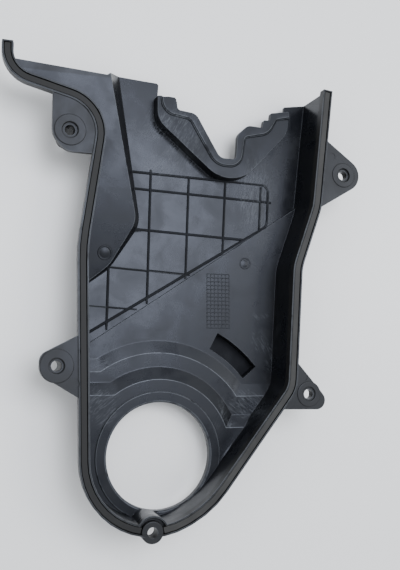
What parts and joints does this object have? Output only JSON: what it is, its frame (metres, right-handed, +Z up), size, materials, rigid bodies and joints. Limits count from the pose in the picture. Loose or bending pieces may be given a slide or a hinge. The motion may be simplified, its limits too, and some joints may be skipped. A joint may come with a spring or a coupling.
{
  "type": "timing belt cover",
  "caption": "Moulded plastic timing belt cover lying open side up, with stepped floors, a ribbed panel, a round crankshaft opening, bolt ears and a gasket in its rim.",
  "frame": {"origin": "middle of the underside of the cover's box, on the surface that it lies on", "axes": "+Z up out of the open side towards the engine, +Y towards the open top edge of the cover, +X to the right as seen into the open side"},
  "size_m": [0.276, 0.3464, 0.0417],
  "materials": {
    "moulded_plastic": "black moulded nylon with a worn satin sheen",
    "gasket_rubber": "dull dark rubber strip"
  },
  "bodies": {
    "root": {"cover": "moulded_plastic", "left_gasket": "gasket_rubber", "right_gasket": "gasket_rubber"}
  },
  "joints": []
}
